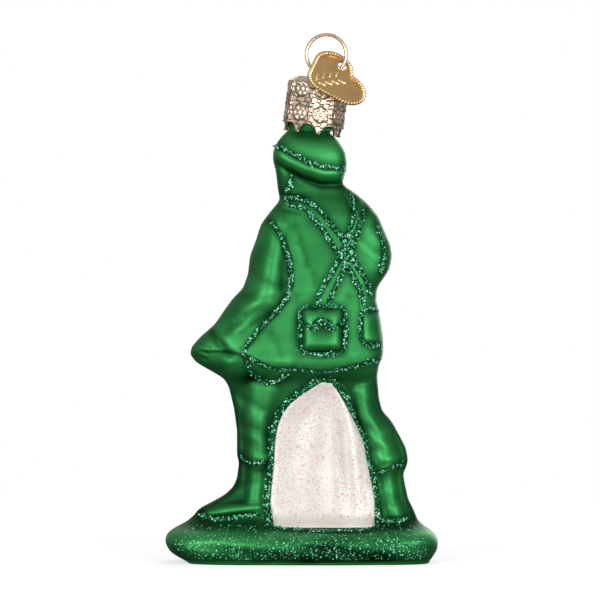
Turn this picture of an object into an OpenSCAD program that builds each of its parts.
// Hanging ornament of blown, silvered and lacquered glass: a soldier seen from behind on a rounded slab.
// Frame: X to the right and Y away from a viewer who stands behind the soldier, Z up,
// with the origin at the middle of the slab's underside. Lengths are in millimetres.

/* [Glass figure] */
// Height of the glass, from the slab's underside to the crown of the helmet
figure_h = 98; // [80:1:120]
// Width of the glass, across the slab
figure_w = 62; // [52:1:76]
// Depth of the glass, across the slab
figure_d = 30; // [25:1:38]
// Height of the slab under the boots
base_t = 9; // [7:0.5:12]
// Thickness of the blown glass
glass_wall = 1.2; // [0.8:0.1:1.8]
// How far the pouches stand out from the jacket
pouch_t = 2; // [1:0.1:3.5]
// How far the brim stands out from the helmet
brim_t = 1; // [0.3:0.1:1.5]

/* [Neck] */
// Outer diameter of the glass neck
neck_d = 10; // [8:0.1:11.4]
// Wall of the glass neck
neck_wall = 1; // [0.6:0.1:1.5]
// Lean of the neck to the right
neck_lean = 7.5; // [0:0.5:12]

/* [Cap] */
// Width of the eight-sided cap across its flats
cap_flats = 12.6; // [12.2:0.1:15]
// Height of the cap
cap_h = 12.4; // [10.5:0.1:15]
// Thickness of the cap's sheet metal
cap_wall = 0.4; // [0.3:0.05:0.6]
// Width of the bevel round the cap's top
cap_bevel = 0.9; // [0.5:0.05:1.2]
// How far the cap's foot reaches down past the crown
cap_drop = 0.9; // [0:0.1:1]
// Depth of the round notches between the cap's tongues
tongue_h = 2; // [1:0.1:2.4]
// Diameter of the round rosettes stamped in the cap's sides
rosette_d = 3.2; // [2:0.1:4.2]
// Height of the stamped rosettes and of the round boss on the top
stamp_t = 0.25; // [0.1:0.05:0.5]
// Diameter of the round boss on the cap's top
boss_d = 9.6; // [8:0.1:11]

/* [Hanger] */
// Diameter of the hanger's wire
wire_d = 0.8; // [0.6:0.05:1.1]
// Diameter of the hanger's loop at the middle of the wire
loop_d = 9; // [7:0.1:12]
// Distance between the two legs at the middle of the wire
leg_gap = 3.2; // [2.4:0.1:4]
// Length of the legs below the cap's top
leg_l = 8; // [5:0.1:9]
// Bend radius where the loop turns into its legs
elbow_r = 1; // [0.8:0.05:1.4]

/* [Tag] */
// Width of the heart between the outer sides of its lobes
tag_w = 16; // [12:0.1:16.5]
// Thickness of the heart's sheet
tag_t = 0.5; // [0.3:0.05:0.8]
// Radius of the heart's blunt tip
tag_tip_r = 4; // [1:0.1:4.5]
// Diameter of the hole that the wire passes through
tag_hole_d = 2.2; // [1.8:0.05:2.6]
// Width of the raised rim
tag_rim_w = 0.8; // [0.4:0.05:1.2]

/* [Trim] */
// Width of a line of glitter
glitter_w = 1.25; // [0.6:0.05:1.6]
// Height of a line of glitter
glitter_t = 0.45; // [0.2:0.05:0.8]
// Thickness of the pearl white panels
panel_t = 0.3; // [0.15:0.05:0.6]
// Space left between the glass and a line of glitter
trim_gap = 0.12; // [0.08:0.01:0.2]
// Space left between the glass and a panel
panel_gap = 0.3; // [0.2:0.01:0.4]

/* [Fits] */
// Clearance between the cap's inner edge and the top of the neck
seat_gap = 0.1; // [0.05:0.01:0.3]
// Clearance round the wire in the cap's holes
wire_gap = 0.2; // [0.1:0.05:0.4]
// Overrun of cuts past the faces that they open
overrun = 0.5; // [0.2:0.1:1]

/* [Hidden] */

glass_green = [0.16, 0.55, 0.27];
glitter_green = [0.05, 0.45, 0.3];
pearl_white = [0.93, 0.91, 0.88];
champagne = [0.82, 0.72, 0.58];
tag_gold = [0.85, 0.65, 0.3];

// Pixel rows and columns of the view from behind, which every table below ending in px uses
foot_row = 562;
ground_row = 522;
crown_row = 130;
mid_col = 301.5;
figure_cols = 273;

// Left and right edge of the glass: [row, column]
left_px = [[562, 190], [557, 180], [551, 170], [541, 165], [533, 167], [527, 175], [521, 187],
    [515, 194], [508, 199], [502, 211], [495, 224], [487, 233], [478, 237], [462, 239], [455, 237],
    [430, 237], [408, 234], [387, 229], [378, 224], [370, 210], [362, 196], [354, 190], [346, 192],
    [336, 201], [324, 215], [312, 223], [298, 233], [288, 243], [274, 248], [256, 250], [240, 256],
    [224, 261], [212, 270], [200, 280], [190, 278], [172, 276], [160, 273], [152, 273], [144, 276],
    [136, 282], [130, 289]];
right_px = [[562, 428], [557, 432], [549, 437], [540, 438], [532, 434], [526, 425], [520, 418],
    [510, 414], [498, 408], [484, 405], [473, 403], [467, 406], [460, 408], [448, 406], [434, 399],
    [420, 391], [410, 382], [398, 379], [376, 377], [364, 379], [354, 383], [338, 383], [318, 380],
    [300, 376], [288, 377], [280, 382], [270, 389], [256, 392], [244, 390], [228, 383], [216, 378],
    [205, 369], [196, 359], [189, 349], [184, 342], [174, 345], [164, 347], [152, 345], [144, 340.5],
    [140, 337.5], [136, 333], [130, 326]];

// Half depth of the body behind and in front of the mould's parting plane: [row, share of half the depth]
back_shares = [[562, 0.84], [556, 0.93], [548, 0.98], [540, 1], [534, 0.95], [530, 0.78], [526, 0.5],
    [521, 0.35], [510, 0.3], [460, 0.24], [420, 0.25], [392, 0.34], [378, 0.42], [370, 0.56],
    [362, 0.64], [345, 0.66], [318, 0.6], [300, 0.57], [270, 0.57], [240, 0.58], [216, 0.54],
    [204, 0.46], [195, 0.38], [188, 0.36], [178, 0.4], [168, 0.46], [156, 0.48], [146, 0.45],
    [138, 0.33], [130, 0.22]];
front_shares = [[562, 0.84], [556, 0.93], [548, 0.98], [540, 1], [534, 0.95], [530, 0.78], [526, 0.52],
    [521, 0.37], [510, 0.31], [460, 0.24], [420, 0.26], [392, 0.36], [378, 0.44], [370, 0.56],
    [362, 0.64], [345, 0.66], [318, 0.6], [300, 0.58], [270, 0.6], [240, 0.6], [216, 0.54],
    [204, 0.46], [195, 0.4], [188, 0.4], [178, 0.44], [168, 0.48], [156, 0.48], [146, 0.45],
    [138, 0.33], [130, 0.22]];

// Each limb: its middle line and half width in pixels, then how far it lies behind the parting
// plane and how far it swells, as shares of half the depth
left_arm_px = [[278, 226, 21], [270, 260, 21], [264, 294, 24], [240, 323, 22], [219, 341, 17], [204, 352, 14]];
left_arm_shares = [[0.3, 0.3], [0.4, 0.3], [0.45, 0.33], [0.36, 0.31], [0.2, 0.28], [0.08, 0.3]];
right_arm_px = [[362, 214, 20], [373, 256, 19], [368, 276, 15]];
right_arm_shares = [[0.02, 0.42], [-0.12, 0.42], [-0.2, 0.4]];
right_forearm_px = [[372, 262, 17], [350, 282, 15], [326, 292, 13]];
right_forearm_shares = [[-0.36, 0.34], [-0.48, 0.34], [-0.52, 0.34]];
rifle_px = [[200, 352, 8], [262, 322, 8], [330, 290, 10], [360, 276, 11]];
rifle_shares = [[-0.1, 0.24], [-0.5, 0.26], [-0.56, 0.28], [-0.44, 0.24]];
left_leg_px = [[262, 388, 34], [256, 415, 23], [256, 440, 19], [257, 455, 20], [256, 470, 17], [254, 498, 18]];
left_leg_shares = [[0.02, 0.42], [0.02, 0.38], [0.03, 0.36], [0.03, 0.37], [0.03, 0.31], [0.04, 0.33]];
left_boot_px = [[256, 508, 15], [232, 509, 14], [210, 513, 15]];
left_boot_shares = [[0.05, 0.36], [0.06, 0.33], [0.06, 0.32]];
right_leg_px = [[362, 390, 22], [366, 412, 19], [378, 434, 21], [386, 457, 22], [388, 476, 16], [391, 500, 17]];
right_leg_shares = [[0.02, 0.4], [0.03, 0.37], [0.04, 0.38], [0.04, 0.39], [0.04, 0.31], [0.05, 0.31]];
right_boot_px = [[394, 508, 18], [397, 518, 20]];
right_boot_shares = [[0.05, 0.34], [0.05, 0.34]];
web_px = [[330, 370, 22], [320, 430, 34], [314, 470, 42], [318, 524, 52]];
web_shares = [[0, 0.34], [0, 0.31], [0, 0.3], [0.02, 0.32]];
ridge_px = [[336, 366, 16], [348, 430, 18], [353, 480, 21], [355, 524, 24]];
ridge_shares = [[0.02, 0.36], [0.02, 0.35], [0.02, 0.35], [0.04, 0.36]];
LIMBS = [[left_arm_px, left_arm_shares], [right_arm_px, right_arm_shares],
    [right_forearm_px, right_forearm_shares], [rifle_px, rifle_shares],
    [left_leg_px, left_leg_shares], [left_boot_px, left_boot_shares],
    [right_leg_px, right_leg_shares], [right_boot_px, right_boot_shares],
    [web_px, web_shares], [ridge_px, ridge_shares]];

// Reliefs: the helmet's brim, and each pouch's middle and half sizes
brim_px = [[274, 152], [290, 162], [306, 170], [322, 175], [346, 176]];
brim_half_px = 11;
left_pouch_px = [322, 329, 21, 22];
right_pouch_px = [372, 327, 11, 17];

// Lines of glitter on the back, and their partners on the front where a line runs round the figure
brim_line_px = [[279, 148], [298, 158], [310, 164], [325, 168], [341, 170]];
chin_strap_px = [[292, 176], [290, 184], [286, 193]];
left_sleeve_px = [[272, 222], [283, 239], [290, 262], [291, 284], [287, 298], [275, 313], [258, 331], [244, 347]];
right_sleeve_px = [[376, 226], [381, 240], [382, 258], [379, 272]];
left_strap_high_px = [[289, 199], [303, 201], [319, 211], [333, 228], [342, 239]];
left_strap_low_px = [[289, 205], [303, 209], [315, 220], [324, 231], [332, 244]];
left_strap_down_high_px = [[354, 262], [365, 279], [370, 293]];
left_strap_down_low_px = [[353, 275], [359, 290], [362, 303]];
right_strap_in_px = [[350, 197], [354, 207], [353, 218], [348, 233]];
right_strap_out_px = [[362, 210], [359, 224], [352, 245]];
right_strap_down_in_px = [[333, 271], [321, 291], [317, 301]];
right_strap_down_out_px = [[341, 274], [333, 290], [328, 301]];
left_pouch_top_px = [[303, 308], [322, 306], [342, 309]];
left_pouch_left_px = [[301, 314], [300, 330], [303, 347]];
left_pouch_right_px = [[344, 315], [345, 331], [342, 346]];
left_pouch_foot_px = [[308, 351], [322, 353], [337, 350]];
left_pouch_flap_px = [[306, 322], [314, 328], [322, 324], [331, 328], [339, 322]];
right_pouch_top_px = [[363, 311], [371, 309], [377, 311]];
right_pouch_left_px = [[361, 318], [361, 329], [363, 339]];
right_pouch_foot_px = [[367, 344], [373, 344], [378, 341]];
hem_px = [[252, 357], [262, 362], [275, 367], [293, 367], [319, 370], [341, 367], [360, 363], [376, 358]];
hem_flap_px = [[257, 377], [267, 382], [277, 379], [288, 373]];
front_hem_px = [[254, 362], [280, 370], [320, 372], [355, 366], [375, 360]];
left_cuff_px = [[242, 456], [252, 461], [260, 461], [266, 460]];
right_cuff_px = [[378, 471], [388, 467], [402, 462]];
left_sole_px = [[200, 514], [213, 518], [227, 518], [242, 515], [258, 512]];
right_sole_px = [[382, 521], [394, 521], [409, 518]];
border_top_px = [[313, 382], [323, 379], [332, 381], [338, 386]];
border_left_px = [[306, 386], [290, 399], [279, 412], [274, 426], [272, 446], [271, 472], [268, 498], [270, 518]];
border_foot_px = [[276, 530], [300, 532], [335, 533], [368, 532]];
border_right_px = [[343, 394], [350, 408], [356, 422], [365, 440], [368, 460], [373, 482], [377, 504], [377, 522]];

// Left and right edge of the panels: [row, column]
panel_left_px = [[384, 319], [387, 315], [392, 306], [402, 293], [412, 285], [424, 280], [440, 278], [460, 277],
    [480, 275], [500, 273], [525, 275]];
panel_right_px = [[384, 330], [387, 334], [392, 337], [402, 341], [412, 346], [424, 352], [440, 359], [460, 363],
    [480, 367], [500, 371], [525, 371]];

// How the skin is divided: points round a ring, steps between two points of a line, rows of a panel
ring_sides = 56;
skin_rows = 70;
hollow_rows = 26;
line_step_px = 7;
panel_rows = 16;
panel_cols = 9;

// How softly limbs run into each other, how full the section is at its edges,
// and the reach in pixels over which the hollow keeps clear of the outline's steps
blend_share = 0.05;
edge_share = 0.35;
hollow_reach_px = 9;
slope_px = 2;

half_d = figure_d / 2;
neck_r = neck_d / 2;
bore_r = neck_r - neck_wall;
wire_r = wire_d / 2;
loop_r = loop_d / 2;
leg_x = leg_gap / 2;
hole_r = wire_r + wire_gap;

// Foot of the cap on the neck's axis
cap_foot_px = [312, 126];
cap_foot = [col_x(cap_foot_px[0]), 0, figure_h - cap_drop];
neck_root_share = 0.4;
neck_top = cap_h - cap_wall - seat_gap;

// Turn of the cap so that one flat looks a little to the right of the view from behind
cap_turn = -10.5;
cap_sides = 8;
cap_r = cap_flats / 2 / cos(180 / cap_sides);
rosette_shares = [0.35, 0.79];

// The legs pass through the cap right of the axis and a little behind it
legs_shift_share = [0.07, -0.125];
legs_at = [cap_flats * legs_shift_share[0], cap_flats * legs_shift_share[1]];
// Half angle of the gap at the foot of the loop, where its elbows start
loop_open = acos((leg_x + elbow_r) / (loop_r + elbow_r));
elbow_z = (loop_r + elbow_r) * sin(loop_open);
elbow_lift_share = 0.7;
loop_z = elbow_z + elbow_r * elbow_lift_share;
wire_sides = 10;
elbow_steps = 5;
loop_steps = 40;

// Place of the tag's hole on the loop, and the turn of the tag as it leans over the cap
tag_angle = -28;
tag_turn = [9.7, 49.5, -49.3];
tag_side = tag_w / (1 / sqrt(2) + 1);
lobe_r = tag_side / 2;
lobe_at = tag_side / 2 / sqrt(2);
tag_hole_share = 0.52;
tag_hole_at = [-lobe_at, lobe_at + lobe_r * tag_hole_share];
tag_dish_share = 0.3;

// Height and width of a point of the view
function row_z(row) = row > ground_row
    ? base_t * (foot_row - row) / (foot_row - ground_row)
    : base_t + (figure_h - base_t) * (ground_row - row) / (ground_row - crown_row);
function col_x(col) = (col - mid_col) * figure_w / figure_cols;
function left_col(row) = lookup(row, left_px);
function right_col(row) = lookup(row, right_px);

// Swell of a limb at a point: highest on its middle line and falling off as a parabola
function limb_part(at, a, b, sa, sb, side) =
    let (from = [a[0], a[1]], along = [b[0], b[1]] - from,
        t = max(0, min(1, (at - from) * along / (along * along))),
        half = a[2] + (b[2] - a[2]) * t,
        share = sa + (sb - sa) * t,
        off = norm(at - from - along * t) / half)
    -side * share[0] + share[1] * (1 - off * off);
function limb_share(at, limb, side) =
    max([for (i = [0 : len(limb[0]) - 2])
        limb_part(at, limb[0][i], limb[0][i + 1], limb[1][i], limb[1][i + 1], side)]);

// Larger of two swells, rounded where they are close
function soft_max(a, b) =
    let (near = max(blend_share - abs(a - b), 0) / blend_share)
    max(a, b) + near * near * blend_share / 4;
function soft_max_all(list, i = 0) =
    i == len(list) - 1 ? list[i] : soft_max(list[i], soft_max_all(list, i + 1));

// Distance from a point to a line of points
function line_off(at, line) =
    min([for (i = [0 : len(line) - 2])
        let (along = line[i + 1] - line[i],
            t = max(0, min(1, (at - line[i]) * along / (along * along))))
        norm(at - line[i] - along * t)]);
function brim_relief(at) = brim_t * pow(max(0, 1 - pow(line_off(at, brim_px) / brim_half_px, 2)), 2);
function block_relief(at, block) =
    max(0, 1 - pow((at[0] - block[0]) / block[2], 6)) * max(0, 1 - pow((at[1] - block[1]) / block[3], 6));
function pouch_relief(at) = pouch_t * max(block_relief(at, left_pouch_px), block_relief(at, right_pouch_px));

// Depth of the skin at a point of the view: side is -1 behind the parting plane and 1 in front of it
function skin_depth(col, row, side) =
    let (at = [col, row], left = left_col(row), right = right_col(row),
        mid = (left + right) / 2, half = (right - left) / 2,
        across = min(1, abs(col - mid) / half),
        rise = sqrt(1 - across * across),
        full = rise * (1 + edge_share) / (rise + edge_share),
        core = lookup(row, side < 0 ? back_shares : front_shares),
        limbs = [for (limb = LIMBS) limb_share(at, limb, side)],
        swell = soft_max_all(concat([core], limbs)),
        relief = brim_relief(at) + (side < 0 ? pouch_relief(at) : 0))
    full * (half_d * swell + relief);
function skin_at(col, row, side) = [col_x(col), side * skin_depth(col, row, side), row_z(row)];
function unit(v) = v / norm(v);
function skin_normal(col, row, side) =
    unit(cross(skin_at(col + slope_px, row, side) - skin_at(col - slope_px, row, side),
        skin_at(col, row - slope_px, side) - skin_at(col, row + slope_px, side))) * -side;

// Rings of the outer skin, and of the hollow inside it, from the foot to the crown
function skin_ring(row, sides) =
    let (left = left_col(row), right = right_col(row))
    [for (i = [0 : sides - 1])
        let (turn = 360 * i / sides, col = (left + right + (right - left) * cos(turn)) / 2)
        skin_at(col, row, sin(turn) < 0 ? -1 : 1)];
function hollow_ring(row, sides) =
    let (reach = [row - hollow_reach_px, row, row + hollow_reach_px],
        wall_cols = glass_wall * figure_cols / figure_w,
        left = max([for (r = reach) left_col(r)]) + wall_cols,
        right = min([for (r = reach) right_col(r)]) - wall_cols)
    [for (i = [0 : sides - 1])
        let (turn = 360 * i / sides, side = sin(turn) < 0 ? -1 : 1,
            col = (left + right + (right - left) * cos(turn)) / 2,
            depth = min([for (r = reach) skin_depth(col, r, side)]))
        [col_x(col), side * max(0, depth - glass_wall) * min(1, abs(sin(turn)) * 2), row_z(row)]];

// Faces between rings that lie one above the other
function side_faces(rings, sides, from = 0, out = true) =
    [for (k = [0 : rings - 2]) for (i = [0 : sides - 1])
        let (a = from + k * sides + i, b = from + k * sides + (i + 1) % sides)
        each out ? [[a, a + sides, b], [b, a + sides, b + sides]]
            : [[a, b, a + sides], [b, b + sides, a + sides]]];

// The blown figure: outer skin, rim at the crown and hollow, as one closed surface
module blown_figure() {
    rows = [for (k = [0 : skin_rows]) foot_row + (crown_row - foot_row) * k / skin_rows];
    hollow_sides = ring_sides / 2;
    floor_row = foot_row - (foot_row - ground_row) * glass_wall / base_t;
    hollow_px = [for (k = [0 : hollow_rows]) floor_row + (crown_row - floor_row) * k / hollow_rows];
    outer = [for (row = rows) each skin_ring(row, ring_sides)];
    inner = [for (row = hollow_px) each hollow_ring(row, hollow_sides)];
    start = len(outer);
    crown = skin_rows * ring_sides;
    inner_crown = start + hollow_rows * hollow_sides;
    polyhedron(concat(outer, inner), concat(
        [[for (i = [0 : ring_sides - 1]) i]],
        side_faces(skin_rows + 1, ring_sides),
        [for (j = [0 : hollow_sides - 1])
            let (a = crown + 2 * j, b = a + 1, c = crown + (2 * j + 2) % ring_sides,
                d = inner_crown + j, e = inner_crown + (j + 1) % hollow_sides)
            each [[a, d, b], [b, d, e], [b, e, c]]],
        side_faces(hollow_rows + 1, hollow_sides, start, false),
        [[for (i = [hollow_sides - 1 : -1 : 0]) start + i]]));
}

module on_neck_axis() {
    translate(cap_foot) rotate([0, neck_lean, 0]) children();
}

module glass_body() {
    root = neck_d * neck_root_share;
    color(glass_green)
    difference() {
        union() {
            blown_figure();
            on_neck_axis() translate([0, 0, -root]) cylinder(r = neck_r, h = neck_top + root, $fn = 64);
        }
        on_neck_axis() translate([0, 0, -2 * root])
            cylinder(r = bore_r, h = neck_top + 2 * root + overrun, $fn = 64);
    }
}

module cap() {
    inner_r = cap_r - cap_wall / cos(180 / cap_sides);
    color(champagne)
    on_neck_axis()
    difference() {
        union() {
            rotate([0, 0, cap_turn]) {
                cylinder(r = cap_r, h = cap_h - cap_bevel, $fn = cap_sides);
                translate([0, 0, cap_h - cap_bevel])
                    cylinder(r1 = cap_r, r2 = cap_r - cap_bevel, h = cap_bevel, $fn = cap_sides);
                for (i = [0 : cap_sides - 1], share = rosette_shares)
                    rotate([0, 0, 360 * (i + 1 / 2) / cap_sides])
                    translate([cap_flats / 2 - cap_wall / 2, 0, cap_h * share])
                    rotate([0, 90, 0])
                    cylinder(d = rosette_d, h = cap_wall / 2 + stamp_t, $fn = 32);
            }
            translate([0, 0, cap_h - cap_wall / 2]) cylinder(d = boss_d, h = cap_wall / 2 + stamp_t, $fn = 64);
        }
        rotate([0, 0, cap_turn]) {
            translate([0, 0, -overrun])
                cylinder(r = inner_r, h = cap_h - cap_bevel + overrun, $fn = cap_sides);
            translate([0, 0, cap_h - cap_bevel])
                cylinder(r1 = inner_r, r2 = inner_r - cap_bevel + cap_wall, h = cap_bevel - cap_wall, $fn = cap_sides);
            for (i = [0 : cap_sides - 1])
                rotate([0, 0, 360 * i / cap_sides]) translate([cap_r - cap_flats / cap_sides, 0, 0])
                rotate([0, 90, 0]) cylinder(r = tongue_h, h = cap_flats / cap_sides + overrun, $fn = 32);
        }
        for (x = [-leg_x, leg_x])
            translate([legs_at[0] + x, legs_at[1], cap_h - cap_wall - overrun])
            cylinder(r = hole_r, h = cap_wall + stamp_t + 2 * overrun, $fn = 32);
    }
}

// Frame of the loop: origin where its axis meets the cap's top, loop in the XZ plane
module on_cap_top() {
    on_neck_axis() translate([legs_at[0], legs_at[1], cap_h + stamp_t]) children();
}

// Middle line of the wire as [x, z, heading]: up the left leg, round the loop and down the right leg
function leg_points(side) = [[side * leg_x, -cap_wall - leg_l, 90], [side * leg_x, 0, 90]];
function elbow_points(side) = [for (k = [0 : elbow_steps])
    let (turn = loop_open * k / elbow_steps)
    [side * (leg_x + elbow_r - elbow_r * cos(turn)), loop_z - elbow_z + elbow_r * sin(turn), 90 - side * turn]];
function mirrored(points) = [for (i = [len(points) - 1 : -1 : 0]) [points[i][0], points[i][1], -points[i][2]]];
wire_path = concat(leg_points(-1), elbow_points(-1),
    [for (k = [1 : loop_steps - 1])
        let (turn = 180 + loop_open - (180 + 2 * loop_open) * k / loop_steps)
        [loop_r * cos(turn), loop_z + loop_r * sin(turn), turn - 90]],
    mirrored(concat(leg_points(1), elbow_points(1))));

module hanger_wire() {
    points = [for (p = wire_path) for (i = [0 : wire_sides - 1])
        let (turn = 360 * i / wire_sides, out = wire_r * cos(turn))
        [p[0] - out * sin(p[2]), wire_r * sin(turn), p[1] + out * cos(p[2])]];
    last = (len(wire_path) - 1) * wire_sides;
    color(champagne)
    on_cap_top()
    polyhedron(points, concat([[for (i = [0 : wire_sides - 1]) i]], side_faces(len(wire_path), wire_sides),
        [[for (i = [wire_sides - 1 : -1 : 0]) last + i]]));
}

module heart(side, tip_r) {
    reach = side / sqrt(2);
    cut = tip_r / sqrt(2);
    polygon([[0, reach], [-reach, 0], [-cut, cut - reach], [cut, cut - reach], [reach, 0]]);
    translate([0, tip_r * sqrt(2) - reach]) circle(r = tip_r, $fn = 48);
    for (x = [-1, 1]) translate([x, 1] * reach / 2) circle(d = side, $fn = 64);
}

module tag() {
    field = tag_side - 2 * tag_rim_w;
    dish = tag_t * tag_dish_share;
    color(tag_gold)
    on_cap_top()
    translate([loop_r * cos(tag_angle), 0, loop_z + loop_r * sin(tag_angle)])
    rotate([0, -neck_lean, 0]) rotate(tag_turn)
    translate([-tag_hole_at[0], -tag_hole_at[1], -tag_t / 2])
    difference() {
        linear_extrude(tag_t) heart(tag_side, tag_tip_r);
        for (z = [-overrun, tag_t - dish])
            translate([0, 0, z]) linear_extrude(dish + overrun) heart(field, tag_tip_r - tag_rim_w);
        translate([tag_hole_at[0], tag_hole_at[1], -overrun])
            cylinder(d = tag_hole_d, h = tag_t + 2 * overrun, $fn = 32);
    }
}

// Points along a line at even steps, on a smooth curve through the line's own points
function curve_point(a, b, c, d, t) =
    (2 * b + (c - a) * t + (2 * a - 5 * b + 4 * c - d) * t * t + (3 * b - a - 3 * c + d) * t * t * t) / 2;
function curve(line) =
    let (last = len(line) - 1)
    concat([for (i = [0 : last - 1])
        let (steps = ceil(norm(line[i + 1] - line[i]) / line_step_px))
        for (k = [0 : steps - 1])
        curve_point(line[max(i - 1, 0)], line[i], line[i + 1], line[min(i + 2, last)], k / steps)],
        [line[last]]);

// A line of glitter: a low ridge swept along a line of the view and laid on the skin
module glitter_line(line, side = -1) {
    path = curve(line);
    last = len(path) - 1;
    half = glitter_w / 2;
    ring = 4;
    points = [for (i = [0 : last])
        let (at = skin_at(path[i][0], path[i][1], side),
            before = path[max(i - 1, 0)], after = path[min(i + 1, last)],
            along = skin_at(after[0], after[1], side) - skin_at(before[0], before[1], side),
            up = skin_normal(path[i][0], path[i][1], side),
            across = unit(cross(along, up)))
        each [at + up * trim_gap - across * half, at + up * (trim_gap + glitter_t) - across * half / 2,
            at + up * (trim_gap + glitter_t) + across * half / 2, at + up * trim_gap + across * half]];
    polyhedron(points, concat([[for (i = [0 : ring - 1]) i]], side_faces(last + 1, ring),
        [[for (i = [ring - 1 : -1 : 0]) last * ring + i]]));
}
module glitter(lines, side = -1) {
    color(glitter_green) for (line = lines) glitter_line(line, side);
}

// A pearl panel: a thin patch laid on the skin between its left and right edges
module pearl_panel(side) {
    top = panel_left_px[0][0];
    foot = panel_left_px[len(panel_left_px) - 1][0];
    sheet = [for (lift = [panel_gap, panel_gap + panel_t])
        for (i = [0 : panel_rows]) for (j = [0 : panel_cols])
        let (row = top + (foot - top) * i / panel_rows,
            left = lookup(row, panel_left_px), right = lookup(row, panel_right_px),
            col = left + (right - left) * j / panel_cols)
        skin_at(col, row, side) + skin_normal(col, row, side) * lift];
    wide = panel_cols + 1;
    far = wide * (panel_rows + 1);
    under = [for (i = [0 : panel_rows - 1]) for (j = [0 : panel_cols - 1])
        let (a = i * wide + j) each [[a, a + 1, a + wide], [a + 1, a + wide + 1, a + wide]]];
    upper = [for (face = under) [face[0] + far, face[2] + far, face[1] + far]];
    edge = concat([for (j = [0 : panel_cols]) j], [for (i = [1 : panel_rows]) i * wide + panel_cols],
        [for (j = [panel_cols - 1 : -1 : 0]) panel_rows * wide + j], [for (i = [panel_rows - 1 : -1 : 1]) i * wide]);
    rim = [for (k = [0 : len(edge) - 1])
        let (a = edge[k], b = edge[(k + 1) % len(edge)]) each [[a, a + far, b], [b, a + far, b + far]]];
    faces = concat(under, upper, rim);
    color(pearl_white) polyhedron(sheet, side < 0 ? faces : [for (f = faces) [f[0], f[2], f[1]]]);
}

module back_panel() { pearl_panel(-1); }
module front_panel() { pearl_panel(1); }
module helmet_brim_glitter() {
    glitter([brim_line_px]);
    glitter([brim_line_px], 1);
}
module chin_strap_glitter() { glitter([chin_strap_px]); }
module left_sleeve_glitter() { glitter([left_sleeve_px]); }
module right_sleeve_glitter() { glitter([right_sleeve_px]); }
module cross_strap_glitter() {
    glitter([left_strap_high_px, left_strap_low_px, left_strap_down_high_px, left_strap_down_low_px,
        right_strap_in_px, right_strap_out_px, right_strap_down_in_px, right_strap_down_out_px]);
}
module left_pouch_glitter() {
    glitter([left_pouch_top_px, left_pouch_left_px, left_pouch_right_px, left_pouch_foot_px,
        left_pouch_flap_px]);
}
module right_pouch_glitter() { glitter([right_pouch_top_px, right_pouch_left_px, right_pouch_foot_px]); }
module jacket_hem_glitter() {
    glitter([hem_px, hem_flap_px]);
    glitter([front_hem_px], 1);
}
module back_panel_border_glitter() {
    glitter([border_top_px, border_left_px, border_foot_px, border_right_px]);
}
module front_panel_border_glitter() {
    glitter([border_top_px, border_left_px, border_foot_px, border_right_px], 1);
}
module left_cuff_glitter() { glitter([left_cuff_px]); }
module right_cuff_glitter() { glitter([right_cuff_px]); }
module left_sole_glitter() { glitter([left_sole_px]); }
module right_sole_glitter() { glitter([right_sole_px]); }

glass_body();
cap();
hanger_wire();
tag();
back_panel();
front_panel();
helmet_brim_glitter();
chin_strap_glitter();
left_sleeve_glitter();
right_sleeve_glitter();
cross_strap_glitter();
left_pouch_glitter();
right_pouch_glitter();
jacket_hem_glitter();
back_panel_border_glitter();
front_panel_border_glitter();
left_cuff_glitter();
right_cuff_glitter();
left_sole_glitter();
right_sole_glitter();
